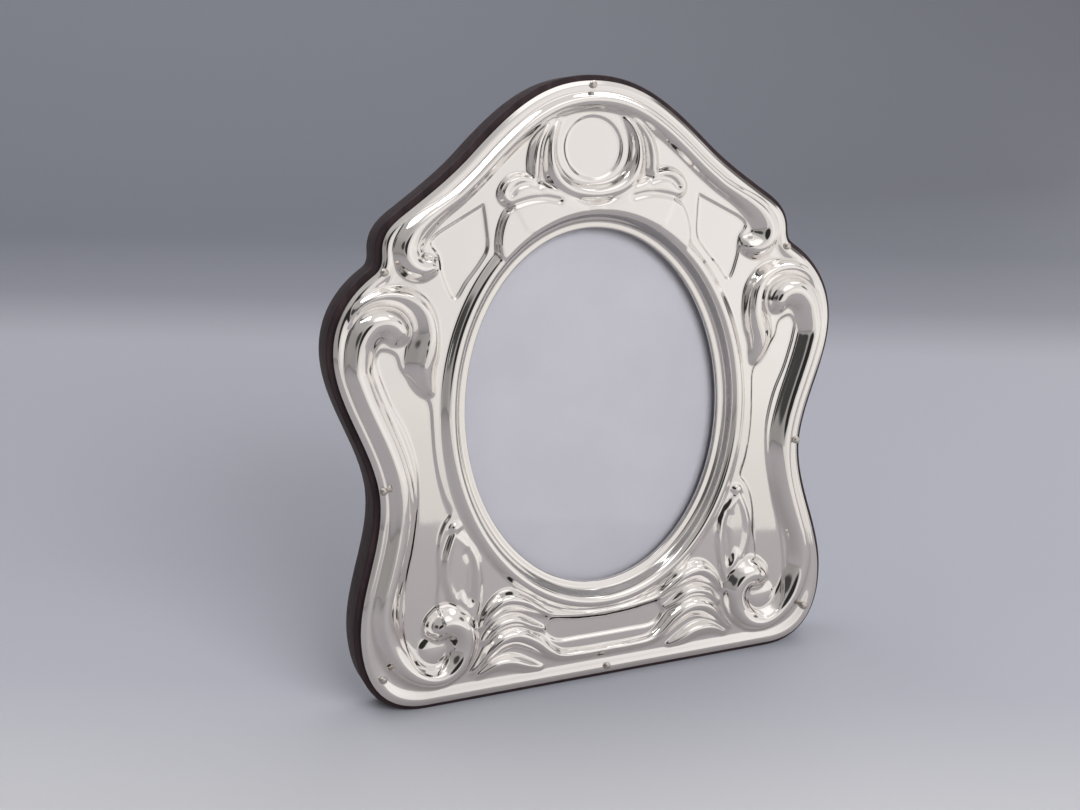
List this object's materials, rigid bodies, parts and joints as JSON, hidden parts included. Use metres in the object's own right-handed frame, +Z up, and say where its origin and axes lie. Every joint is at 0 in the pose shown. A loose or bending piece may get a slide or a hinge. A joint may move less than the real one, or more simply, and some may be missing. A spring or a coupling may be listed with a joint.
{
  "type": "picture frame",
  "caption": "Standing picture frame: an embossed silver sheet with scrolls and an oval opening, pinned on a dark wooden body with a folding easel strut.",
  "frame": {"origin": "middle of the standing frame's box, on the surface it stands on", "axes": "+Z up, +X to the right as seen from the front, front faces -Y, the frame leans back to +Y"},
  "size_m": [0.1744, 0.074, 0.1945],
  "materials": {
    "silver": "polished silver",
    "lacquered_wood": "dark lacquer with a soft shine",
    "brass": "polished",
    "steel": "bright wire",
    "glass": "clear",
    "card": "matt",
    "board": "matt"
  },
  "bodies": {
    "frame": {"silver_front": "silver", "wood_body": "lacquered_wood", "nail_top": "silver", "nail_bottom": "silver", "nail_shoulder_left": "silver", "nail_shoulder_right": "silver", "nail_waist_left": "silver", "nail_waist_right": "silver", "nail_corner_left": "silver", "nail_corner_right": "silver", "glass": "glass", "insert_card": "card", "backing_pad": "board", "back_panel": "lacquered_wood", "turn_button_screw_upper_left": "brass", "turn_button_screw_upper_right": "brass", "turn_button_screw_lower_left": "brass", "turn_button_screw_lower_right": "brass", "hinge_fixed_leaf": "brass", "hinge_pin": "steel", "hinge_body_screw_left": "brass", "hinge_body_screw_right": "brass"},
    "strut": {"strut": "lacquered_wood", "hinge_moving_leaf": "brass", "hinge_strut_screw_left": "brass", "hinge_strut_screw_right": "brass"},
    "button_upper_left": {"turn_button_upper_left": "brass"},
    "button_upper_right": {"turn_button_upper_right": "brass"},
    "button_lower_left": {"turn_button_lower_left": "brass"},
    "button_lower_right": {"turn_button_lower_right": "brass"}
  },
  "joints": [
    {"name": "strut_fold", "type": "hinge", "parent": "frame", "child": "strut", "pos_m": [0, 0.00428, 0.15258], "axis": [1, 0, 0], "range_deg": [-19, 0]},
    {"name": "button_upper_left_turn", "type": "hinge", "parent": "frame", "child": "button_upper_left", "pos_m": [-0.0379, -0.01207, 0.13926], "axis": [0, 0.989, -0.1478], "continuous": true},
    {"name": "button_upper_right_turn", "type": "hinge", "parent": "frame", "child": "button_upper_right", "pos_m": [0.0379, -0.01207, 0.13926], "axis": [0, 0.989, -0.1478], "continuous": true},
    {"name": "button_lower_left_turn", "type": "hinge", "parent": "frame", "child": "button_lower_left", "pos_m": [-0.0379, -0.02709, 0.03876], "axis": [0, 0.989, -0.1478], "continuous": true},
    {"name": "button_lower_right_turn", "type": "hinge", "parent": "frame", "child": "button_lower_right", "pos_m": [0.0379, -0.02709, 0.03876], "axis": [0, 0.989, -0.1478], "continuous": true}
  ]
}
